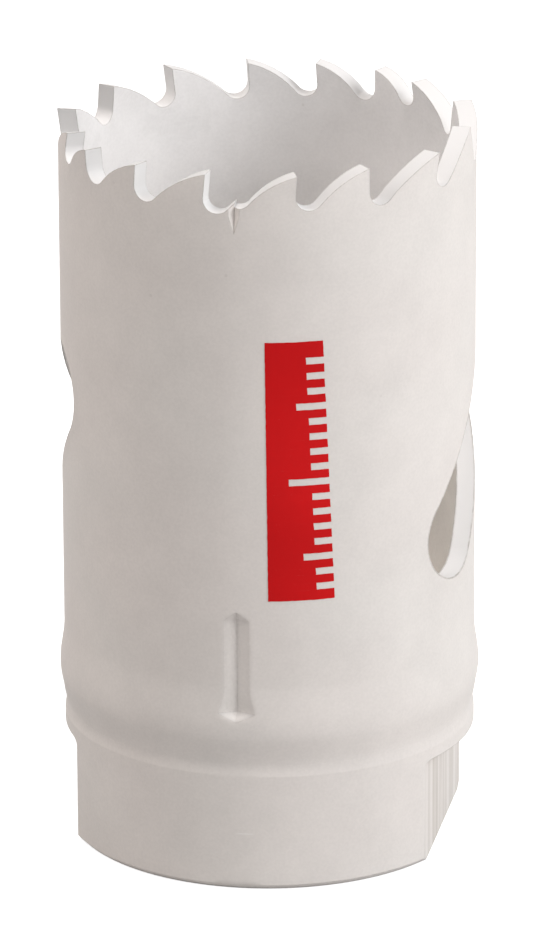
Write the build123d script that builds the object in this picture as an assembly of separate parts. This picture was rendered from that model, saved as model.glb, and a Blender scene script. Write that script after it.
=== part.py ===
from build123d import *
from math import cos, degrees, pi, radians, sin, tan
import os

# A small hole saw: a toothed tube, rolled from strip and butt welded, on a turned end cap.
# It stands on the cap's back face with the teeth up. The origin is the centre of that face,
# and +Z runs along the axis to the teeth. Azimuths are in degrees from +X, anticlockwise
# seen from the teeth. "Along the strip" is a length round the outside, counted from the weld.

# Tube
tube_diameter = 26.6        # outside, clear of the swaged ring
wall = 1.2                  # thickness of the strip
tooth_top = 47.6            # back face to tooth tips
seam_azimuth = 260.9        # where the strip's ends are butt welded

# Teeth
tooth_pitches = (4.9, 5.57, 5.98, 6.1, 5.49, 3.87, 4.51)  # tip to tip, repeated along the strip
tooth_bends = (0, -1, 1, -1, 1, -1, 1)                    # a raker, then set in and out
tooth_set = 0.2             # how far a set tooth leans from the wall at its tip
first_tip = 3.95            # weld to the first tip
last_land = 1.5             # least strip left between the last tip and the weld
gullet_depth = 2.4          # tip to bottom of a wide gullet
gullet_share = 0.45         # a narrow gullet is this share of its pitch deep
gullet_radius = 0.9         # round bottom of a gullet
rake_angle = 4.0            # lean of the cutting face under the tip
relief_angle = 13.0         # fall of the tooth's back behind the tip
tip_width = 0.08            # flat left on the very tip

# Slots through the tube
slot_count = 2
slot_width = 6.2
slot_length = 17.4          # end to end
slot_lean = 48.0            # from the horizontal
slot_height = 25.9          # back face to the middle of a slot
slot_azimuth = -9.5         # middle of the first slot

# Joint of tube and cap
flange_height = 8.5         # back face to the seat of the tube
joint_depth = 0.12          # shallow V where they meet
flange_bevel = 9.5          # between the V's lower flank and the wall
tube_bevel = 13.0           # between its upper flank and the wall
swage_above_seat = 2.5      # seat to the crest of the swaged ring
swage_rise = 0.29           # how far the crest stands out
swage_fall = 2.4            # crest down to where the ring runs out
swage_climb = 2.8           # crest up to where it runs out
press_gap = 0.03            # between the cap's spigot and the tube

# Unfilled V at each end of the weld
foot_notch_depth = 0.35
foot_notch_width = 1.75
foot_notch_gap = 0.5        # crest of the ring to the V's lower end
foot_notch_length = 7.4
foot_notch_run_out = 0.6    # length over which it fades at each end
rim_notch_depth = 0.3
rim_notch_width = 0.7
rim_notch_reach = 3.7       # tooth tips to where the V fades out
rim_notch_run_out = 1.2     # length over which it fades at its lower end

# End cap
spigot_length = 4.1         # seat of the tube to the floor of the cup
spigot_chamfer = 0.4
flat_spacing = 22.8         # across the two wrench flats
flat_rim = 1.5              # full round left between the flats and the seat
flat_azimuth = -10.75       # normal of the first flat
flat_corner = 0.45          # radius that the milling cutter left above a flat
edge_chamfer = 0.35         # outer edge of the back face
thread_diameter = 12.7      # nominal size of the arbor's thread
thread_chamfer = 0.8

beyond = 1.0                # how far a cutter runs past what it cuts

tube_radius = tube_diameter / 2
inner_radius = tube_radius - wall
spigot_radius = inner_radius - press_gap
thread_radius = thread_diameter / 2
strip_length = pi * tube_diameter
swage_height = flange_height + swage_above_seat
cap_height = flange_height + spigot_length


def strip_azimuth(along):
    return seam_azimuth + degrees(along / tube_radius)


def radial_plane(azimuth, distance, height=0):
    # local X runs round the tube, local Y up the axis and local Z outwards
    outward = Vector(cos(radians(azimuth)), sin(radians(azimuth)))
    return Plane(outward * distance + Vector(0, 0, height), x_dir=outward.rotate(Axis.Z, 90), z_dir=outward)


def turned(profile):
    return revolve(Plane.XZ * profile, Axis.Z)


def core(radius, height):
    # half of the section of a plain cylinder that stands on the back face
    return Rectangle(radius, height, align=(Align.MIN, Align.MIN))


# --- tube and joint ---

def tube_outline(top):
    # all that lies within the tube's outer line: the wall was upset outwards to a ring when
    # the tube was pressed on its seat
    low, high = swage_height - swage_fall, swage_height + swage_climb
    crest = (tube_radius + swage_rise, swage_height)
    ring = Spline([(tube_radius, low), crest, (tube_radius, high)], tangents=[(0, 1)] * 3)
    above = Polyline((tube_radius, high), (tube_radius, top), (0, top))
    return make_face([ring, above, Polyline((0, top), (0, 0), (tube_radius, 0), (tube_radius, low))])


def joint_cutter():
    width = joint_depth + swage_rise / 2
    lip = tube_radius - joint_depth + width
    high = flange_height + width / tan(radians(tube_bevel))
    low = flange_height - width / tan(radians(flange_bevel))
    outline = Polyline((tube_radius - joint_depth, flange_height), (lip, high), (lip, low), close=True)
    return turned(make_face(outline))


# --- teeth ---

def pitch_after(index):
    return tooth_pitches[index % len(tooth_pitches)]


def gullet_drop(pitch):
    return min(gullet_depth, gullet_share * pitch)


def tooth_tips():
    # places of the tips along the strip
    tips = [first_tip]
    while tips[-1] + pitch_after(len(tips) - 1) < strip_length - last_land:
        tips.append(tips[-1] + pitch_after(len(tips) - 1))
    return tips


def gullet_outline(pitch):
    # one gullet from the tip before it, at zero, to the next: a straight cutting face,
    # a round bottom, and a convex back that runs into it without a corner
    rake, relief = radians(rake_angle), radians(relief_angle)
    drop = gullet_drop(pitch)
    center = Vector((gullet_radius - (drop - gullet_radius) * sin(rake)) / cos(rake), gullet_radius - drop)
    face_foot = center + Vector(-cos(rake), sin(rake)) * gullet_radius
    back_top = Vector(pitch - tip_width, 0)
    inward = Vector(sin(relief), -cos(relief))
    across = back_top - center
    back_radius = (across.dot(across) - gullet_radius**2) / (2 * (gullet_radius - inward.dot(across)))
    back_center = back_top + inward * back_radius
    back_foot = center + (back_center - center).normalized() * gullet_radius
    outward = (back_top + back_foot) / 2 - back_center
    back_middle = back_center + outward.normalized() * back_radius
    bottom = center - Vector(0, gullet_radius)
    return Vector(0, 0), face_foot, bottom, back_foot, back_middle, back_top


def gullet_section(pitch, distance):
    # the gullet on a plane square to the radius at its middle; each point keeps its azimuth,
    # so the walls between two such sections run straight to the axis
    def place(point):
        return distance * tan((point.X - pitch / 2) / tube_radius), tooth_top + point.Y

    tip, face_foot, bottom, back_foot, back_middle, back_top = map(place, gullet_outline(pitch))
    above_tip, above_back = (tip[0], tooth_top + beyond), (back_top[0], tooth_top + beyond)
    return make_face([
        Polyline(back_top, above_back, above_tip, tip, face_foot),
        ThreePointArc(face_foot, bottom, back_foot),
        ThreePointArc(back_foot, back_middle, back_top),
    ])


def gullet_cutter(tip, pitch):
    azimuth = strip_azimuth(tip + pitch / 2)
    reach = tooth_set + beyond
    sections = []
    for distance in (inner_radius - reach, tube_radius + reach):
        sections.append(radial_plane(azimuth, distance) * gullet_section(pitch, distance))
    return loft(sections, ruled=True)


def weld_side(side):
    # what lies near the rim before the weld (-1) or after it (+1)
    block = Box(tube_diameter, tube_diameter, tooth_top, align=(Align.MIN, Align.CENTER, Align.CENTER))
    return Rot(0, 0, seam_azimuth) * Pos(0, side * tube_radius, tooth_top) * block


def cut_teeth(body):
    # the strip was cut across a gullet at each end, and those two gullets stop at the weld
    tips = tooth_tips()
    cutters = [gullet_cutter(tip, pitch_after(index)) for index, tip in enumerate(tips[:-1])]
    cutters.append(gullet_cutter(tips[-1], pitch_after(len(tips) - 1)) & weld_side(-1))
    lead = pitch_after(-1)
    cutters.append(gullet_cutter(tips[0] - lead, lead) & weld_side(1))
    return body - cutters


def rim_piece(start, stop, bend, base):
    # the stretch of rim that one tooth is cut from, leaning by its set
    lean = bend * tooth_set
    profile = make_face(Polyline(
        (inner_radius, base), (tube_radius, base),
        (tube_radius + lean, tooth_top), (inner_radius + lean, tooth_top), close=True,
    ))
    turn = degrees((stop - start) / tube_radius)
    return Rot(0, 0, strip_azimuth(start)) * revolve(Plane.XZ * profile, Axis.Z, turn)


def rim(base):
    # one stretch for each tooth, meeting at the gullet bottoms
    joints = [0] + [tip + gullet_radius for tip in tooth_tips()]
    pieces = [rim_piece(joints[-1], strip_length, 0, base)]
    for index, (start, stop) in enumerate(zip(joints, joints[1:])):
        pieces.append(rim_piece(start, stop, tooth_bends[index % len(tooth_bends)], base))
    return pieces


# --- the two pieces ---

def slot_cutters():
    cutters = []
    for index in range(slot_count):
        plane = radial_plane(slot_azimuth + 360 * index / slot_count, 0, slot_height)
        outline = SlotOverall(slot_length, slot_width, rotation=slot_lean)
        cutters.append(extrude(plane * outline, tube_radius + beyond))
    return cutters


def seam_notch(stations, depth, width):
    # a V along the seam; each station gives a height and how far the V is sunk in the wall there
    outside = tube_radius + beyond
    sections = []
    for height, sunk in stations:
        root = tube_radius - sunk
        half = (outside - root) * width / 2 / depth
        outline = Polyline((root, 0), (outside, half), (outside, -half), close=True)
        sections.append(Pos(0, 0, height) * make_face(outline))
    return Rot(0, 0, seam_azimuth) * loft(sections, ruled=True)


def foot_notch():
    low = swage_height + foot_notch_gap
    high = low + foot_notch_length
    stations = [
        (low, -swage_rise), (low + foot_notch_run_out, foot_notch_depth),
        (high - foot_notch_run_out, foot_notch_depth), (high, 0),
    ]
    return seam_notch(stations, foot_notch_depth, foot_notch_width)


def rim_notch():
    low = tooth_top - rim_notch_reach
    stations = [(low, 0), (low + rim_notch_run_out, rim_notch_depth), (tooth_top, rim_notch_depth)]
    return seam_notch(stations, rim_notch_depth, rim_notch_width)


def saw_body():
    base = tooth_top - min(gullet_drop(pitch) for pitch in tooth_pitches)
    seat = core(tube_diameter, flange_height)
    tube = turned(tube_outline(base) - core(inner_radius, base) - seat)
    body = cut_teeth(tube + rim(base))
    return body - slot_cutters() - joint_cutter() - foot_notch() - rim_notch()


def flat_cutters():
    # the milled corner above each flat is round
    half, top = flat_spacing / 2, flange_height - flat_rim
    side = Pos(half, top) * Rectangle(tube_radius, top * 2, align=(Align.MIN, Align.MAX))
    inner_corner = side.vertices().sort_by(Axis.X)[:2].sort_by(Axis.Y)[-1]
    section = fillet(inner_corner, flat_corner)
    cutter = extrude(Plane.XZ * section, tube_radius, both=True)
    return [Rot(0, 0, flat_azimuth + turn) * cutter for turn in (0, 180)]


def end_cap():
    flange = core(tube_radius, flange_height)
    outer_edge = flange.vertices().sort_by(Axis.X)[-2:].sort_by(Axis.Y)[0]
    flange = chamfer(outer_edge, edge_chamfer)
    spigot = core(spigot_radius, cap_height)
    lead_in = spigot.vertices().sort_by(Axis.X)[-2:].sort_by(Axis.Y)[-1]
    spigot = chamfer(lead_in, spigot_chamfer)
    mouth = thread_radius + thread_chamfer
    bore = make_face(Polyline(
        (0, 0), (mouth, 0), (thread_radius, thread_chamfer),
        (thread_radius, cap_height - thread_chamfer), (mouth, cap_height), (0, cap_height), close=True,
    ))
    return turned(flange + spigot - bore) - joint_cutter() - flat_cutters()


os.makedirs("parts", exist_ok=True)
export_step(saw_body(), "parts/saw_body.step")
export_step(end_cap(), "parts/end_cap.step")
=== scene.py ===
from math import cos, pi, radians, sin

import bmesh
import bpy
from mathutils import Matrix, Vector, noise


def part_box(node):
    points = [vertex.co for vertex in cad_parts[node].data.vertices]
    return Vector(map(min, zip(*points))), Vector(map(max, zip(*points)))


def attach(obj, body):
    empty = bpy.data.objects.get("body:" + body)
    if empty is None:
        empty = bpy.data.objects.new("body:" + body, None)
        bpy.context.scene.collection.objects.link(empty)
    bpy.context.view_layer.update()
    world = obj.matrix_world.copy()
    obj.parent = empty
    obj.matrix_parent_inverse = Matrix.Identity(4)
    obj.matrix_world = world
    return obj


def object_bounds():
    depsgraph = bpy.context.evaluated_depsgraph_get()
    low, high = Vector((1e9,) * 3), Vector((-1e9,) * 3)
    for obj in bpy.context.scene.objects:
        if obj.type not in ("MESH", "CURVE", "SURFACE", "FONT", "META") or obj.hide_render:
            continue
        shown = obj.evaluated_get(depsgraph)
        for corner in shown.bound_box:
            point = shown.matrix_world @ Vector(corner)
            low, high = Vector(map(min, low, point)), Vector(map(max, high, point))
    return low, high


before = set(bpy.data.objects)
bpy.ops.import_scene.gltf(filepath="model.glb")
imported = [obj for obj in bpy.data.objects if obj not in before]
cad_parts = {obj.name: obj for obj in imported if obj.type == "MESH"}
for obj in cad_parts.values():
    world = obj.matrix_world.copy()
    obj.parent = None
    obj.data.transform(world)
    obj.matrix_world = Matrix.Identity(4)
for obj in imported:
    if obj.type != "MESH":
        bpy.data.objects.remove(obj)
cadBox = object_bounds()
mm = 0.001

# dimensions that several pieces share, all of them the solids' own
saw = {
    "wallRadius": 13.3 * mm,
    "height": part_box("saw_body")[1].z,
    "capTop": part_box("end_cap")[1].z,
    "seamAzimuth": radians(-99.1),
}


# small helpers for nodes

def feed(tree, socket, value):
    if isinstance(value, bpy.types.NodeSocket):
        tree.links.new(value, socket)
    else:
        socket.default_value = value


def calc(tree, operation, *values, clamp=False):
    node = tree.nodes.new("ShaderNodeMath")
    node.operation = operation
    node.use_clamp = clamp
    for socket, value in zip(node.inputs, values):
        feed(tree, socket, value)
    return node.outputs[0]


def product(tree, first, *others):
    for other in others:
        first = calc(tree, "MULTIPLY", first, other)
    return first


def total(tree, first, *others):
    for other in others:
        first = calc(tree, "ADD", first, other)
    return first


def awayFrom(tree, value, middle):
    return calc(tree, "ABSOLUTE", calc(tree, "SUBTRACT", value, middle))


def humpAt(tree, value, middle, reach, rise):
    # a rounded ridge, as high as rise at the middle and nothing beyond reach
    left = remap(tree, awayFrom(tree, value, middle), 0.0, reach, 1.0, 0.0)
    return product(tree, left, left, rise)


def vectorCalc(tree, operation, *values):
    node = tree.nodes.new("ShaderNodeVectorMath")
    node.operation = operation
    for socket, value in zip(node.inputs, values):
        feed(tree, socket, value)
    return node.outputs["Value" if operation == "DOT_PRODUCT" else "Vector"]


def remap(tree, value, low, high, toLow=0.0, toHigh=1.0, smooth=False):
    node = tree.nodes.new("ShaderNodeMapRange")
    node.interpolation_type = "SMOOTHSTEP" if smooth else "LINEAR"
    feed(tree, node.inputs["Value"], value)
    feed(tree, node.inputs["From Min"], low)
    feed(tree, node.inputs["From Max"], high)
    feed(tree, node.inputs["To Min"], toLow)
    feed(tree, node.inputs["To Max"], toHigh)
    return node.outputs["Result"]


def noiseOf(tree, spot, scale, detail=2.0, roughness=0.5, distortion=0.0):
    node = tree.nodes.new("ShaderNodeTexNoise")
    feed(tree, node.inputs["Vector"], spot)
    feed(tree, node.inputs["Scale"], scale)
    node.inputs["Detail"].default_value = detail
    node.inputs["Roughness"].default_value = roughness
    node.inputs["Distortion"].default_value = distortion
    return node.outputs["Fac"]


noiseSpan = {"low": 0.3, "high": 0.7}  # a noise seldom leaves this span


def spread(tree, value, toLow, toHigh):
    return remap(tree, value, noiseSpan["low"], noiseSpan["high"], toLow, toHigh)


def mixColor(tree, amount, first, second, blend="MIX"):
    node = tree.nodes.new("ShaderNodeMix")
    node.data_type = "RGBA"
    node.blend_type = blend
    feed(tree, node.inputs[0], amount)
    feed(tree, node.inputs[6], first)
    feed(tree, node.inputs[7], second)
    return node.outputs[2]


def newGroup(name, inputs, outputs):
    group = bpy.data.node_groups.new(name, "ShaderNodeTree")
    for label, kind, value in inputs:
        socket = group.interface.new_socket(name=label, in_out="INPUT", socket_type=kind)
        if value is not None:
            socket.default_value = value
    for label, kind in outputs:
        group.interface.new_socket(name=label, in_out="OUTPUT", socket_type=kind)
    start = group.nodes.new("NodeGroupInput")
    end = group.nodes.new("NodeGroupOutput")
    return group, start.outputs, end.inputs


def place(tree, group, values):
    node = tree.nodes.new("ShaderNodeGroup")
    node.node_tree = group
    for name, value in values.items():
        feed(tree, node.inputs[name], value)
    return node.outputs


# shared effects; scales are in features to a metre

def makeUnrolled():
    # where a point lies on the saw: its turn about the axis, its height and its distance from the axis
    group, _, gives = newGroup("unrolled", [], [
        ("Turn", "NodeSocketFloat"), ("Height", "NodeSocketFloat"), ("Radius", "NodeSocketFloat"),
        ("Place", "NodeSocketVector"),
    ])
    spot = group.nodes.new("ShaderNodeTexCoord").outputs["Object"]
    split = group.nodes.new("ShaderNodeSeparateXYZ")
    feed(group, split.inputs[0], spot)
    across, deep, up = split.outputs
    feed(group, gives["Turn"], calc(group, "ARCTAN2", deep, across))
    feed(group, gives["Height"], up)
    square = calc(group, "MULTIPLY_ADD", across, across, product(group, deep, deep))
    feed(group, gives["Radius"], calc(group, "SQRT", square))
    feed(group, gives["Place"], spot)
    return group


powder = {
    "cloudScale": 260.0, "cloudDark": 0.945, "cloudLight": 1.01,
    "hueScale": 90.0, "hueLow": 0.38, "hueHigh": 0.62,
    "grainScale": 5200.0, "grain": 0.04,
    "speckScale": 420.0, "speckRim": 0.055, "speckCore": 0.03, "speckRare": 0.85, "speck": 0.14,
    "fineScale": 9000.0, "fine": 0.35, "roughnessSwing": 0.05,
}


def makePowderCoat():
    # a fired powder coat: faint clouds of tone, an orange peel and a few specks of dust under it
    group, given, gives = newGroup("powderCoat", [
        ("Place", "NodeSocketVector", None),
        ("Color", "NodeSocketColor", (0.8, 0.8, 0.8, 1.0)),
        ("Warm", "NodeSocketColor", (0.8, 0.8, 0.8, 1.0)),
        ("Dust", "NodeSocketColor", (0.3, 0.3, 0.3, 1.0)),
        ("Peel Scale", "NodeSocketFloat", 2500.0),
        ("Peel", "NodeSocketFloat", 0.000002),
    ], [("Color", "NodeSocketColor"), ("Roughness", "NodeSocketFloat"), ("Height", "NodeSocketFloat")])
    spot = given["Place"]
    # tone
    clouds = noiseOf(group, spot, powder["cloudScale"], detail=3.0, roughness=0.6)
    hue = noiseOf(group, spot, powder["hueScale"], detail=1.0)
    warmth = remap(group, hue, powder["hueLow"], powder["hueHigh"])
    tint = mixColor(group, warmth, given["Color"], given["Warm"])
    grain = noiseOf(group, spot, powder["grainScale"], detail=1.0)
    shade = total(
        group, spread(group, clouds, powder["cloudDark"], powder["cloudLight"]),
        spread(group, grain, 0.0, powder["grain"]),
    )
    grey = group.nodes.new("ShaderNodeCombineColor")
    for socket in grey.inputs:
        feed(group, socket, shade)
    toned = mixColor(group, 1.0, tint, grey.outputs[0], blend="MULTIPLY")
    # specks
    cells = group.nodes.new("ShaderNodeTexVoronoi")
    feed(group, cells.inputs["Vector"], spot)
    cells.inputs["Scale"].default_value = powder["speckScale"]
    near = remap(group, cells.outputs["Distance"], powder["speckRim"], powder["speckCore"])
    pick = group.nodes.new("ShaderNodeSeparateColor")
    feed(group, pick.inputs[0], cells.outputs["Color"])
    rare = calc(group, "GREATER_THAN", pick.outputs[0], powder["speckRare"])
    speck = product(group, near, rare, powder["speck"])
    feed(group, gives["Color"], mixColor(group, speck, toned, given["Dust"]))
    # peel
    peel = noiseOf(group, spot, given["Peel Scale"], detail=1.0, roughness=0.4)
    fine = noiseOf(group, spot, powder["fineScale"], detail=1.0)
    rise = calc(group, "MULTIPLY_ADD", fine, powder["fine"], peel)
    feed(group, gives["Height"], product(group, rise, given["Peel"]))
    swing = powder["roughnessSwing"]
    feed(group, gives["Roughness"], spread(group, clouds, -swing, swing))
    return group


edgeBevel = {
    "samples": 6, "onset": 0.985, "full": 0.86,  # cosines between the true normal and the turned one
    "breakScale": 1400.0, "breakLow": 0.35, "breakHigh": 0.6, "least": 0.35,
}


def bevelOf(tree, radius):
    node = tree.nodes.new("ShaderNodeBevel")
    node.samples = edgeBevel["samples"]
    feed(tree, node.inputs["Radius"], radius)
    return node.outputs["Normal"]


def makeDarkEdges():
    # how near a sharp edge a point is, from 0 to 1, broken up along the edge
    group, given, gives = newGroup("darkEdges", [
        ("Place", "NodeSocketVector", None), ("Radius", "NodeSocketFloat", 0.00012),
    ], [("Mask", "NodeSocketFloat")])
    surface = group.nodes.new("ShaderNodeNewGeometry").outputs["Normal"]
    agreement = vectorCalc(group, "DOT_PRODUCT", bevelOf(group, given["Radius"]), surface)
    near = remap(group, agreement, edgeBevel["onset"], edgeBevel["full"])
    chips = noiseOf(group, given["Place"], edgeBevel["breakScale"], detail=3.0, roughness=0.7)
    broken = remap(group, chips, edgeBevel["breakLow"], edgeBevel["breakHigh"], edgeBevel["least"], 1.0)
    feed(group, gives["Mask"], calc(group, "MULTIPLY", near, broken, clamp=True))
    return group


def makeSoftEdge():
    # a coat never follows a sharp edge: the normal turns gradually round it
    group, given, gives = newGroup(
        "softEdge", [("Radius", "NodeSocketFloat", 0.00008)], [("Normal", "NodeSocketVector")],
    )
    feed(group, gives["Normal"], bevelOf(group, given["Radius"]))
    return group


def makeStreaks():
    # marks that run up and down, such as a milling cutter leaves
    group, given, gives = newGroup("streaks", [
        ("Place", "NodeSocketVector", None), ("Fineness", "NodeSocketFloat", 900.0),
        ("Stretch", "NodeSocketFloat", 0.03),
    ], [("Value", "NodeSocketFloat")])
    squash = group.nodes.new("ShaderNodeCombineXYZ")
    squash.inputs[0].default_value = 1.0
    squash.inputs[1].default_value = 1.0
    feed(group, squash.inputs[2], given["Stretch"])
    scaled = vectorCalc(group, "MULTIPLY", given["Place"], squash.outputs[0])
    feed(group, gives["Value"], noiseOf(group, scaled, given["Fineness"], detail=3.0, roughness=0.65))
    return group


def makeWornSteel():
    # bare steel that has stained in places
    group, given, gives = newGroup("wornSteel", [
        ("Place", "NodeSocketVector", None), ("Scale", "NodeSocketFloat", 1200.0),
        ("Steel", "NodeSocketColor", (0.42, 0.41, 0.40, 1.0)),
        ("Stain", "NodeSocketColor", (0.20, 0.19, 0.18, 1.0)),
    ], [("Color", "NodeSocketColor"), ("Wear", "NodeSocketFloat")])
    wear = noiseOf(group, given["Place"], given["Scale"], detail=4.0)
    feed(group, gives["Color"], mixColor(group, wear, given["Stain"], given["Steel"]))
    feed(group, gives["Wear"], wear)
    return group


joint = {
    "height": 8.5 * mm, "fill": 0.05 * mm, "width": 0.55 * mm,           # the V between tube and cap
    "underLow": 8.9 * mm, "underHigh": 10.4 * mm, "under": 0.085 * mm,   # hollow below the ring's crest
    "overLow": 10.8 * mm, "overHigh": 13.4 * mm, "over": 0.145 * mm,     # and above it
    "buried": 0.25 * mm, "free": 0.45 * mm,         # how far from the V soft edges begin, and are whole
    "covered": 0.7 * mm, "uncovered": 1.0 * mm,     # and the same for the dark edge lines
}


def makeJointForm():
    # the coat fills the V between tube and cap, and the ring above it is a little sharper at its crest
    group, given, gives = newGroup(
        "jointForm", [("Height", "NodeSocketFloat", 0.0)], [("Rise", "NodeSocketFloat")],
    )
    height = given["Height"]
    fill = humpAt(group, height, joint["height"], joint["width"], joint["fill"])
    under = remap(group, height, joint["underLow"], joint["underHigh"], -joint["under"], 0.0, smooth=True)
    over = remap(group, height, joint["overLow"], joint["overHigh"], -joint["over"], 0.0, smooth=True)
    feed(group, gives["Rise"], total(group, fill, under, over))
    return group


unrolled = makeUnrolled()
powderCoat = makePowderCoat()
darkEdges = makeDarkEdges()
softEdge = makeSoftEdge()
streaks = makeStreaks()
wornSteel = makeWornSteel()
jointForm = makeJointForm()
print("shared effects made")


# materials

def newMaterial(name, roughness, gloss=0.5, metallic=0.0):
    material = bpy.data.materials.new(name)
    material.use_nodes = True
    tree = material.node_tree
    shader = tree.nodes["Principled BSDF"]
    shader.inputs["Roughness"].default_value = roughness
    shader.inputs["Specular IOR Level"].default_value = gloss
    shader.inputs["Metallic"].default_value = metallic
    return material, tree, shader


def bumpOf(tree, height, normal=None):
    node = tree.nodes.new("ShaderNodeBump")
    node.inputs["Strength"].default_value = 1.0
    node.inputs["Distance"].default_value = 1.0
    feed(tree, node.inputs["Height"], height)
    if normal is not None:
        feed(tree, node.inputs["Normal"], normal)
    return node.outputs["Normal"]


coat = {
    "color": (0.80, 0.765, 0.738, 1.0),
    "warm": (0.80, 0.757, 0.730, 1.0),
    "dust": (0.36, 0.32, 0.29, 1.0),
    "edgeDark": (0.42, 0.385, 0.36, 1.0),      # darker lines along sharp edges
    "cut": (0.79, 0.785, 0.785, 1.0),      # on the faces cut through the wall: a cooler, neutral copy of the coat, painted light from above
    "roughness": 0.6, "gloss": 0.1, "peel": 2.2e-6,
    "edge": 0.08 * mm, "edgeLine": 0.12 * mm,
    "bare": 0.85, "capEdgeDark": 0.5,          # how dark the edge lines are on the tube and on the cap
}
# the inside is painted light: a lighter, cooler copy of the white coat stands in for the light the inside
# gets
innerLitSmudged = {
    "color": (0.866, 0.853, 0.853, 1.0), "high": 39 * mm,   # near the teeth; lighter and more neutral than the outside coat: painted light for the light the inside gets
    "deep": (0.872, 0.848, 0.812, 1.0), "low": 31 * mm,     # down in the cup; warmer: painted bounce light
    "smudge": (0.70, 0.69, 0.685, 1.0), "smudgeScale": 190.0,
    "smudgeLow": 0.55, "smudgeHigh": 0.75, "smudgeMost": 0.35,
    "from": -0.3, "full": -0.6, "cutFrom": 0.7, "cutFull": 0.5,  # how far a face turns from the axis
}
seam = {
    "ridge": 0.035 * mm, "aside": -0.6 * mm, "reach": 1.1 * mm,   # the bulge, and where its crest runs
    "wanderScale": 130.0, "least": 0.4, "most": 1.3,              # how its height changes up the wall
}
footNotch = {
    "low": 11.5 * mm, "high": 19.0 * mm, "fade": 0.5 * mm,        # the part of the root that is ragged
    "rootReach": 0.7 * mm, "beads": 0.08 * mm, "beadScale": 2000.0,
    "fillet": 0.65 * mm, "side": 1.2 * mm, "sideEnd": 1.6 * mm,   # rounder corners, and where they end
    "top": 19.5 * mm, "topEnd": 20.5 * mm,
}
slotLip = {
    "azimuth": radians(-9.5), "lean": radians(48), "height": 25.9 * mm,
    "halfRun": 5.6 * mm, "halfWidth": 3.1 * mm,                   # half the slot's straight part and width
    "rise": 0.05 * mm, "reach": 1.1 * mm,                         # how the wall swells beside it
    "edgeLine": 0.24 * mm, "edgeFrom": 0.5 * mm, "edgeFull": 0.3 * mm,   # a broader dark edge line, this near it
}


def besideSeam(tree, turn):
    # distance round the wall from the weld
    return product(tree, calc(tree, "SUBTRACT", turn, saw["seamAzimuth"]), saw["wallRadius"])


def seamRidge(tree, turn, height):
    # the wall stands a hair proud beside the weld, more in some places than in others
    aside = calc(tree, "SUBTRACT", besideSeam(tree, turn), seam["aside"])
    off = calc(tree, "DIVIDE", aside, seam["reach"])
    hump = calc(tree, "EXPONENT", product(tree, off, off, -1.0))
    wander = tree.nodes.new("ShaderNodeCombineXYZ")
    feed(tree, wander.inputs[2], height)
    change = noiseOf(tree, wander.outputs[0], seam["wanderScale"], detail=2.0)
    return product(tree, hump, spread(tree, change, seam["least"], seam["most"]), seam["ridge"])


def weldBeads(tree, turn, height, spot):
    # the root of the notch at the weld's foot is ragged
    low, high, fade = footNotch["low"], footNotch["high"], footNotch["fade"]
    root = remap(tree, calc(tree, "ABSOLUTE", besideSeam(tree, turn)), footNotch["rootReach"], 0.0)
    above = remap(tree, height, low, low + fade)
    below = remap(tree, height, high, high - fade)
    beads = noiseOf(tree, spot, footNotch["beadScale"], detail=2.0, roughness=0.6)
    return product(tree, beads, root, above, below, footNotch["beads"])


def slotGap(tree, turn, height):
    # distance from the edge of the nearer slot; the turn is folded on itself by half a circle
    alongSlot, acrossSlot = cos(slotLip["lean"]), sin(slotLip["lean"])
    folded = calc(tree, "PINGPONG", calc(tree, "ADD", turn, pi - slotLip["azimuth"]), pi / 2)
    past = calc(tree, "SUBTRACT", turn, slotLip["azimuth"])
    side = calc(tree, "SIGN", calc(tree, "SINE", product(tree, past, 2.0)))
    along = product(tree, folded, side, saw["wallRadius"])
    up = calc(tree, "SUBTRACT", height, slotLip["height"])
    run = calc(tree, "MULTIPLY_ADD", along, alongSlot, product(tree, up, acrossSlot))
    off = calc(tree, "MULTIPLY_ADD", up, alongSlot, product(tree, along, -acrossSlot))
    over = calc(tree, "SUBTRACT", calc(tree, "ABSOLUTE", run), slotLip["halfRun"])
    over = calc(tree, "MAXIMUM", over, 0.0)
    far = calc(tree, "SQRT", calc(tree, "MULTIPLY_ADD", over, over, product(tree, off, off)))
    return calc(tree, "SUBTRACT", far, slotLip["halfWidth"])


def facingOut(tree):
    # 1 where the surface faces away from the axis, -1 where it faces it, 0 on a cut through the wall
    spot = tree.nodes.new("ShaderNodeNewGeometry").outputs
    flat = vectorCalc(tree, "MULTIPLY", spot["Position"], (1.0, 1.0, 0.0))
    outward = vectorCalc(tree, "NORMALIZE", flat)
    return vectorCalc(tree, "DOT_PRODUCT", outward, spot["True Normal"])


def darkEdgeMask(tree, spot, height, strength, reach):
    # darker lines along sharp edges; the joint has none, because the coat runs across it
    away = remap(tree, awayFrom(tree, height, joint["height"]), joint["covered"], joint["uncovered"])
    mask = place(tree, darkEdges, {"Place": spot, "Radius": reach})["Mask"]
    return product(tree, mask, away, strength)


# lengths along the strip are in millimetres; a tooth is set inwards (-1), upright (0) or outwards (1)
teeth = {
    "pitches": (4.9, 5.57, 5.98, 6.1, 5.49, 3.87, 4.51), "bends": (0, -1, 1, -1, 1, -1, 1),
    "first": 4.85, "lastLand": 0.6, "foot": 45.86 * mm, "lean": 0.115, "soften": 1.7 * mm,
}


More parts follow.
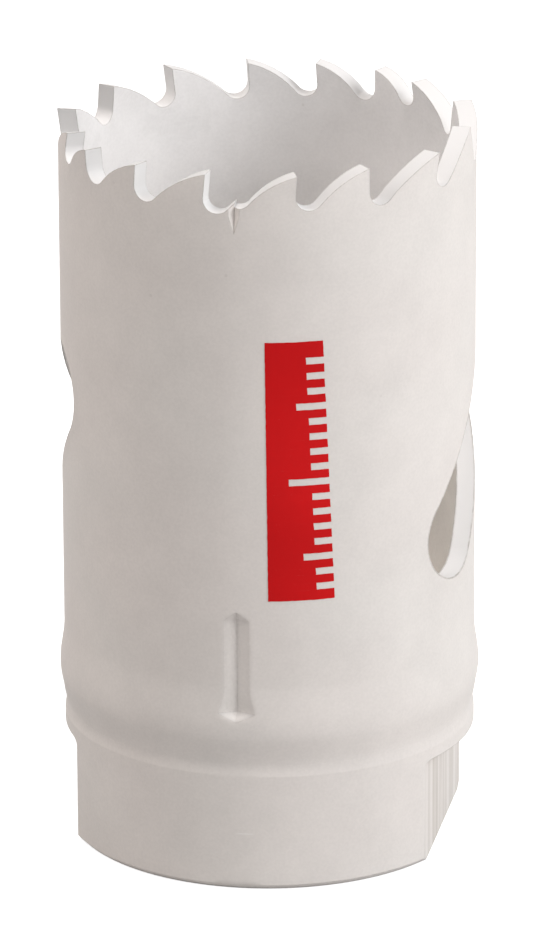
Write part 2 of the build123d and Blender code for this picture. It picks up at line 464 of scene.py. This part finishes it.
def bendAround(tree, turn):
    # which way each tooth is set, all the way round: 0 inwards, 0.5 upright, 1 outwards
    upright = (0.5, 0.5, 0.5, 1.0)
    around = 2 * pi * saw["wallRadius"] / mm
    past = calc(tree, "SUBTRACT", turn, saw["seamAzimuth"] - 2 * pi)
    share = calc(tree, "FRACT", calc(tree, "DIVIDE", past, 2 * pi))
    ramp = tree.nodes.new("ShaderNodeValToRGB")
    ramp.color_ramp.interpolation = "CONSTANT"
    feed(tree, ramp.inputs[0], share)
    stops = ramp.color_ramp.elements
    stops[0].color = upright
    stops[1].position = 1.0
    along, index = teeth["first"], 0
    while along < around - teeth["lastLand"]:
        stop = stops.new(along / around)
        level = 0.5 + 0.5 * teeth["bends"][(index + 1) % len(teeth["bends"])]
        stop.color = (level, level, level, 1.0)
        along += teeth["pitches"][index % len(teeth["pitches"])]
        index += 1
    stop.color = upright
    return ramp.outputs["Color"]


def setForm(tree, turn, height, side):
    # the teeth bend over a short stretch of wall and not along a sharp line
    # a bend of slope lean, rounded over soften on either side, comes a quarter of their product off
    hump = humpAt(tree, height, teeth["foot"], teeth["soften"], teeth["lean"] * teeth["soften"] / 4)
    bend = calc(tree, "MULTIPLY_ADD", bendAround(tree, turn), 2.0, -1.0)
    return product(tree, hump, bend, side)


def coatEdge(tree, turn, height):
    # corners are rounder in the notch at the weld's foot; the joint's two edges are buried in the coat
    free = remap(tree, awayFrom(tree, height, joint["height"]), joint["buried"], joint["free"])
    aside = calc(tree, "ABSOLUTE", besideSeam(tree, turn))
    beside = remap(tree, aside, footNotch["sideEnd"], footNotch["side"])
    low = remap(tree, height, footNotch["topEnd"], footNotch["top"])
    radius = remap(tree, product(tree, beside, low), 0.0, 1.0, coat["edge"], footNotch["fillet"])
    return place(tree, softEdge, {"Radius": product(tree, radius, free)})["Normal"]


def makeBodyCoat():
    material, tree, shader = newMaterial("bodyCoat", coat["roughness"], gloss=coat["gloss"])
    turn, height, _, spot = place(tree, unrolled, {})
    facing = facingOut(tree)
    inside = remap(tree, facing, innerLitSmudged["from"], innerLitSmudged["full"])
    cut = remap(tree, calc(tree, "ABSOLUTE", facing), innerLitSmudged["cutFrom"], innerLitSmudged["cutFull"])
    # the inside, with faint smudges left by handling; its lighter, cooler colour is painted light, warmer
    # deep in the cup as painted bounce light
    litUpTheCup = remap(tree, height, innerLitSmudged["low"], innerLitSmudged["high"])
    litWithin = mixColor(tree, litUpTheCup, innerLitSmudged["deep"], innerLitSmudged["color"])
    smears = noiseOf(tree, spot, innerLitSmudged["smudgeScale"], detail=4.0, roughness=0.7, distortion=0.4)
    smudged = remap(tree, smears, innerLitSmudged["smudgeLow"], innerLitSmudged["smudgeHigh"], 0.0, innerLitSmudged["smudgeMost"])
    litWithin = mixColor(tree, smudged, litWithin, innerLitSmudged["smudge"])
    skin = place(tree, powderCoat, {
        "Place": spot, "Dust": coat["dust"], "Peel": coat["peel"],
        "Color": mixColor(tree, inside, coat["color"], litWithin),
        "Warm": mixColor(tree, inside, coat["warm"], litWithin),
    })
    # painted light: faces cut through the wall take a neutral copy of the coat for the neutral light
    # falling on them from above
    coated = mixColor(tree, cut, skin["Color"], coat["cut"])
    # darker lines along the edges, broader round the slots
    gap = slotGap(tree, turn, height)
    slotEdge = remap(tree, calc(tree, "ABSOLUTE", gap), slotLip["edgeFrom"], slotLip["edgeFull"])
    strength = remap(tree, slotEdge, 0.0, 1.0, coat["bare"], 1.0)
    reach = remap(tree, slotEdge, 0.0, 1.0, coat["edgeLine"], slotLip["edgeLine"])
    edged = mixColor(tree, darkEdgeMask(tree, spot, height, strength, reach), coated, coat["edgeDark"])
    feed(tree, shader.inputs["Base Color"], edged)
    feed(tree, shader.inputs["Roughness"], calc(tree, "ADD", skin["Roughness"], coat["roughness"]))
    # small forms: the outside has its own, and the set of the teeth is on both sides
    outside = calc(tree, "SUBTRACT", 1.0, inside)
    lips = remap(tree, gap, 0.0, slotLip["reach"], slotLip["rise"], 0.0, smooth=True)
    beads = weldBeads(tree, turn, height, spot)
    ring = place(tree, jointForm, {"Height": height})["Rise"]
    form = total(tree, seamRidge(tree, turn, height), lips, ring, beads)
    side = calc(tree, "MULTIPLY_ADD", inside, -2.0, 1.0)
    bothSides = calc(tree, "ADD", skin["Height"], setForm(tree, turn, height, side))
    rise = calc(tree, "MULTIPLY_ADD", form, outside, bothSides)
    feed(tree, shader.inputs["Normal"], bumpOf(tree, rise, coatEdge(tree, turn, height)))
    return material


scuff = {
    "azimuth": radians(-96.9), "height": 3.87 * mm, "bright": (0.90, 0.88, 0.86, 1.0), "most": 0.6,
    "halfLong": 0.62 * mm, "fullLong": 0.372 * mm, "halfHigh": 0.07 * mm, "fullHigh": 0.021 * mm,
}
flats = {
    "azimuth": radians(-10.75), "distance": 11.4 * mm, "near": 0.03 * mm, "on": 0.01 * mm,
    "top": 6.98 * mm, "fullBelow": 6.7 * mm,
    "mark": (0.58, 0.535, 0.49, 1.0), "markLow": 0.42, "markHigh": 0.66, "markMost": 0.75, "depth": 6e-6,
}
bore = {
    "radius": 6.35 * mm, "mouth": 7.15 * mm,
    "bareFrom": 0.25 * mm, "bareFull": 0.12 * mm,      # how far beyond the bore the coat is gone
    "steel": (0.42, 0.41, 0.40, 1.0), "stain": (0.20, 0.19, 0.18, 1.0), "wearScale": 1200.0,
    "smoother": -0.08,                                 # what bare steel adds to the coat's roughness
}


def scuffMask(tree, turn, height, radius):
    # a short scuff on the side of the flange
    along = product(tree, calc(tree, "SUBTRACT", turn, scuff["azimuth"]), radius)
    inLength = remap(tree, calc(tree, "ABSOLUTE", along), scuff["halfLong"], scuff["fullLong"])
    off = awayFrom(tree, height, scuff["height"])
    inHeight = remap(tree, off, scuff["halfHigh"], scuff["fullHigh"])
    return product(tree, inLength, inHeight, scuff["most"])


def milledMask(tree, turn, height, radius):
    # the two wrench flats
    facing = product(tree, calc(tree, "COSINE", calc(tree, "SUBTRACT", turn, flats["azimuth"])), radius)
    away = awayFrom(tree, calc(tree, "ABSOLUTE", facing), flats["distance"])
    low = remap(tree, height, flats["top"], flats["fullBelow"])
    return product(tree, remap(tree, away, flats["near"], flats["on"]), low)


def boreSteel(tree, spot):
    return place(tree, wornSteel, {
        "Place": spot, "Scale": bore["wearScale"], "Steel": bore["steel"], "Stain": bore["stain"],
    })


def makeCapCoat():
    material, tree, shader = newMaterial("capCoat", coat["roughness"], gloss=coat["gloss"])
    turn, height, radius, spot = place(tree, unrolled, {})
    skin = place(tree, powderCoat, {
        "Place": spot, "Color": coat["color"], "Warm": coat["warm"],
        "Dust": coat["dust"], "Peel": coat["peel"],
    })
    edgeLine = darkEdgeMask(tree, spot, height, coat["capEdgeDark"], coat["edgeLine"])
    edged = mixColor(tree, edgeLine, skin["Color"], coat["edgeDark"])
    edged = mixColor(tree, scuffMask(tree, turn, height, radius), edged, scuff["bright"])
    # the flats keep the cutter's marks through the coat
    milled = milledMask(tree, turn, height, radius)
    lines = place(tree, streaks, {"Place": spot})["Value"]
    marks = remap(tree, lines, flats["markLow"], flats["markHigh"], 0.0, flats["markMost"])
    coated = mixColor(tree, milled, edged, mixColor(tree, marks, edged, flats["mark"]))
    # the thread is bare steel
    bare = remap(tree, radius, bore["radius"] + bore["bareFrom"], bore["radius"] + bore["bareFull"])
    steel = boreSteel(tree, spot)["Color"]
    feed(tree, shader.inputs["Base Color"], mixColor(tree, bare, coated, steel))
    feed(tree, shader.inputs["Metallic"], bare)
    coatRough = calc(tree, "ADD", skin["Roughness"], coat["roughness"])
    feed(tree, shader.inputs["Roughness"], calc(tree, "MULTIPLY_ADD", bare, bore["smoother"], coatRough))
    grooves = product(tree, lines, milled, flats["depth"])
    ring = place(tree, jointForm, {"Height": height})["Rise"]
    rise = total(tree, grooves, skin["Height"], ring)
    feed(tree, shader.inputs["Normal"], bumpOf(tree, rise, coatEdge(tree, turn, height)))
    return material


ink = {
    "red": (0.67, 0.007, 0.009, 1.0), "deep": (0.60, 0.005, 0.007, 1.0),
    "roughness": 0.5, "gloss": 0.12,
}


def makePrintInk():
    material, tree, shader = newMaterial("printInk", ink["roughness"], gloss=ink["gloss"])
    spot = place(tree, unrolled, {})["Place"]
    skin = place(tree, powderCoat, {
        "Place": spot, "Color": ink["red"], "Warm": ink["deep"],
        "Dust": coat["color"], "Peel": coat["peel"],
    })
    feed(tree, shader.inputs["Base Color"], skin["Color"])
    feed(tree, shader.inputs["Roughness"], calc(tree, "ADD", skin["Roughness"], ink["roughness"]))
    feed(tree, shader.inputs["Normal"], bumpOf(tree, skin["Height"]))
    return material


threadFinish = {"roughness": 0.34, "smooth": 0.28, "worn": 0.42, "depth": 2e-6}


def makeThreadSteel():
    material, tree, shader = newMaterial("threadSteel", threadFinish["roughness"], metallic=1.0)
    steel = boreSteel(tree, place(tree, unrolled, {})["Place"])
    feed(tree, shader.inputs["Base Color"], steel["Color"])
    wear = steel["Wear"]
    roughness = spread(tree, wear, threadFinish["smooth"], threadFinish["worn"])
    feed(tree, shader.inputs["Roughness"], roughness)
    feed(tree, shader.inputs["Normal"], bumpOf(tree, product(tree, wear, threadFinish["depth"])))
    return material


bodyCoat = makeBodyCoat()
capCoat = makeCapCoat()
printInk = makePrintInk()
threadSteel = makeThreadSteel()


def dress(node, material):
    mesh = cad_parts[node].data
    mesh.materials.clear()
    mesh.materials.append(material)


dress("saw_body", bodyCoat)
dress("end_cap", capCoat)
print("materials made and the solids dressed")


def addObject(name, data):
    piece = bpy.data.objects.new(name, data)
    bpy.context.scene.collection.objects.link(piece)
    return piece


def addMesh(name, shape, material):
    mesh = bpy.data.meshes.new(name)
    shape.to_mesh(mesh)
    shape.free()
    mesh.materials.append(material)
    return addObject(name, mesh)


def addPiece(name, shape, material):
    piece = addMesh(name, shape, material)
    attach(piece, "root")


# printed panel with a depth scale left bare in it
panel = {
    "left": radians(-90.98), "leftLow": radians(-90.29),      # azimuths of the left edge, top and bottom
    "right": radians(-75.11), "rightLow": radians(-71.92),    # and of the right edge
    "top": 36.88 * mm, "bottom": 19.70 * mm, "ink": 0.02 * mm,
    "firstDepth": 12, "lastDepth": 27,                        # whole millimetres below the tooth tips
    "tickWidth": 0.45 * mm, "tick": 1.15 * mm, "tickFive": 1.9 * mm, "tickTen": 2.6 * mm,
    "grid": 0.15 * mm, "merge": 0.002 * mm,
    "waver": 0.018 * mm, "waverLength": 0.35 * mm, "waverApart": 7.0,   # how the edges wander
}


def panelSides(height):
    share = (panel["top"] - height) / (panel["top"] - panel["bottom"])
    left = panel["left"] + (panel["leftLow"] - panel["left"]) * share
    right = panel["right"] + (panel["rightLow"] - panel["right"]) * share
    return left * saw["wallRadius"], right * saw["wallRadius"]


def tickLength(depth):
    if depth % 10 == 0:
        return panel["tickTen"]
    return panel["tickFive"] if depth % 5 == 0 else panel["tick"]


def panelRows():
    # heights at which the outline changes, with how far each row's right end is cut back
    rows = [(panel["top"], 0.0)]
    for depth in range(panel["firstDepth"], panel["lastDepth"] + 1):
        middle = saw["height"] - depth * mm
        rows.append((middle + panel["tickWidth"] / 2, tickLength(depth)))
        rows.append((middle - panel["tickWidth"] / 2, 0.0))
    rows.append((panel["bottom"], 0.0))
    return rows


def printedSpot(along, height):
    # a printed edge is never quite straight
    seed = Vector((along, height, 0.0)) / panel["waverLength"]
    along += noise.noise(seed) * panel["waver"]
    height += noise.noise(seed + Vector((0.0, 0.0, panel["waverApart"]))) * panel["waver"]
    turn = along / saw["wallRadius"]
    reach = saw["wallRadius"] + panel["ink"]
    return Vector((reach * cos(turn), reach * sin(turn), height))


def makePanel():
    shape = bmesh.new()
    rows = panelRows()
    for (high, cut), (low, _) in zip(rows, rows[1:]):
        steps = max(1, round((high - low) / panel["grid"]))
        lines = []
        for step in range(steps + 1):
            height = high + (low - high) * step / steps
            left, right = panelSides(height)
            lines.append((height, left, right - cut))
        count = max(1, round((lines[0][2] - lines[0][1]) / panel["grid"]))
        grid = []
        for height, start, stop in lines:
            spots = [printedSpot(start + (stop - start) * k / count, height) for k in range(count + 1)]
            grid.append([shape.verts.new(spot) for spot in spots])
        for upper, lower in zip(grid, grid[1:]):
            for k in range(count):
                shape.faces.new((upper[k], lower[k], lower[k + 1], upper[k + 1]))
    bmesh.ops.remove_doubles(shape, verts=shape.verts, dist=panel["merge"])
    for face in shape.faces:
        face.smooth = True
    addPiece("depth_scale", shape, printInk)


makePanel()
print("printed panel made")

# thread in the bore
thread = {
    "pitch": 25.4 * mm / 20, "crest": 5.76 * mm, "root": 6.38 * mm, "crestFlat": 0.17 * mm,
    "sink": 0.05 * mm, "inset": 0.05 * mm,      # under the chamfers, and in from the cap's two faces
    "stepsPerTurn": 72, "merge": 0.004 * mm,
}


def threadRing(turn):
    # the ridge's section at one place on the helix; it sinks under the chamfer at each mouth of the bore
    half, flat = thread["pitch"] / 2, thread["crestFlat"]
    middle = (turn - 0.5) * thread["pitch"]
    angle = 2 * pi * turn
    spots = []
    for offset, radius in ((-half, "root"), (-flat, "crest"), (flat, "crest"), (half, "root")):
        height = min(max(middle + offset, thread["inset"]), saw["capTop"] - thread["inset"])
        edge = min(height, saw["capTop"] - height)
        reach = max(thread[radius], bore["mouth"] - edge + thread["sink"])
        spots.append((reach * cos(angle), reach * sin(angle), height))
    return spots


def makeThread():
    shape = bmesh.new()
    turns = saw["capTop"] / thread["pitch"] + 1
    rings = []
    for step in range(int(turns * thread["stepsPerTurn"]) + 1):
        rings.append([shape.verts.new(spot) for spot in threadRing(step / thread["stepsPerTurn"])])
    for first, second in zip(rings, rings[1:]):
        for k in range(len(first) - 1):
            shape.faces.new((first[k], first[k + 1], second[k + 1], second[k]))
    bmesh.ops.remove_doubles(shape, verts=shape.verts, dist=thread["merge"])
    bmesh.ops.recalc_face_normals(shape, faces=shape.faces)
    addPiece("arbor_thread", shape, threadSteel)


makeThread()
print("thread made")

# floor, backdrop, lamps and camera
floor = {
    "radius": 0.9, "segments": 96, "gap": 0.01 * mm,
    "color": (0.5, 0.5, 0.5, 1.0), "roughness": 0.9, "glow": 0.85,
}
sky = {"ambient": 0.19}


def seenBy(tree):
    # 1 for the rays that look at the backdrop, 0 for those that gather its light
    path = tree.nodes.new("ShaderNodeLightPath").outputs
    seen = calc(tree, "MAXIMUM", path["Is Camera Ray"], path["Is Glossy Ray"])
    return calc(tree, "MAXIMUM", seen, path["Is Transmission Ray"])


def makeFloor():
    shape = bmesh.new()
    bmesh.ops.create_circle(shape, cap_ends=True, segments=floor["segments"], radius=floor["radius"])
    material, tree, shader = newMaterial("paleFloor", floor["roughness"], gloss=0.0)
    shader.inputs["Base Color"].default_value = floor["color"]
    shader.inputs["Emission Color"].default_value = (1.0, 1.0, 1.0, 1.0)
    feed(tree, shader.inputs["Emission Strength"], product(tree, seenBy(tree), floor["glow"]))
    piece = addMesh("floor", shape, material)
    piece.location.z = cadBox[0].z - floor["gap"]


def makeSky():
    world = bpy.data.worlds.new("paleStudio")
    bpy.context.scene.world = world
    world.use_nodes = True
    tree = world.node_tree
    back = tree.nodes["Background"]
    back.inputs["Color"].default_value = (1.0, 1.0, 1.0, 1.0)
    feed(tree, back.inputs["Strength"], remap(tree, seenBy(tree), 0.0, 1.0, sky["ambient"], 1.0))


# where each lamp stands about the saw's middle, in degrees, and its power in watts
white, warm = (1.0, 1.0, 1.0), (1.0, 0.925, 0.875)
lamps = {
    "softboxLow": {"azimuth": 325, "elevation": 15, "power": 0.77, "color": white},
    "softboxSide": {"azimuth": 340, "elevation": 32, "power": 1.80, "color": white},
    "softboxHigh": {"azimuth": 330, "elevation": 50, "power": 0.35, "color": white},
    "warmCeiling": {"azimuth": 180, "elevation": 65, "power": 0.82, "color": warm},
    "warmTop": {"azimuth": 200, "elevation": 75, "power": 1.23, "color": warm},
    "warmSide": {"azimuth": 205, "elevation": 32, "power": 0.54, "color": warm},
}
lampSetup = {"distance": 0.6, "size": 0.35}


def makeLamps():
    middle = Vector((0.0, 0.0, saw["height"] / 2))
    for name, lamp in lamps.items():
        light = bpy.data.lights.new(name, "AREA")
        light.shape = "DISK"
        light.size = lampSetup["size"]
        light.energy = lamp["power"]
        light.color = lamp["color"]
        piece = addObject(name, light)
        azimuth, elevation = radians(lamp["azimuth"]), radians(lamp["elevation"])
        level = cos(elevation)
        toward = Vector((cos(azimuth) * level, sin(azimuth) * level, sin(elevation)))
        piece.location = middle + toward * lampSetup["distance"]
        piece.rotation_euler = toward.to_track_quat("Z", "Y").to_euler()


view = {
    "aim": Vector((-0.045 * mm, 0.0, 23.52 * mm)), "distance": 489.19 * mm,
    "elevation": radians(19.478), "roll": radians(0.252), "lens": 288.07, "sensor": 36.0,
}


def makeCamera():
    camera = bpy.data.cameras.new("camera")
    camera.lens = view["lens"]
    camera.sensor_width = view["sensor"]
    piece = addObject("camera", camera)
    away = Vector((0.0, -cos(view["elevation"]), sin(view["elevation"])))
    up = Vector((0.0, sin(view["elevation"]), cos(view["elevation"])))
    right = Vector((1.0, 0.0, 0.0))
    tilted = right * cos(view["roll"]) - up * sin(view["roll"])
    upright = right * sin(view["roll"]) + up * cos(view["roll"])
    turn = Matrix((tilted, upright, away)).transposed()
    piece.matrix_world = Matrix.Translation(view["aim"] + away * view["distance"]) @ turn.to_4x4()
    bpy.context.scene.camera = piece


makeFloor()
makeSky()
makeLamps()
makeCamera()
bpy.context.scene.view_settings.view_transform = "Standard"
print("studio made")
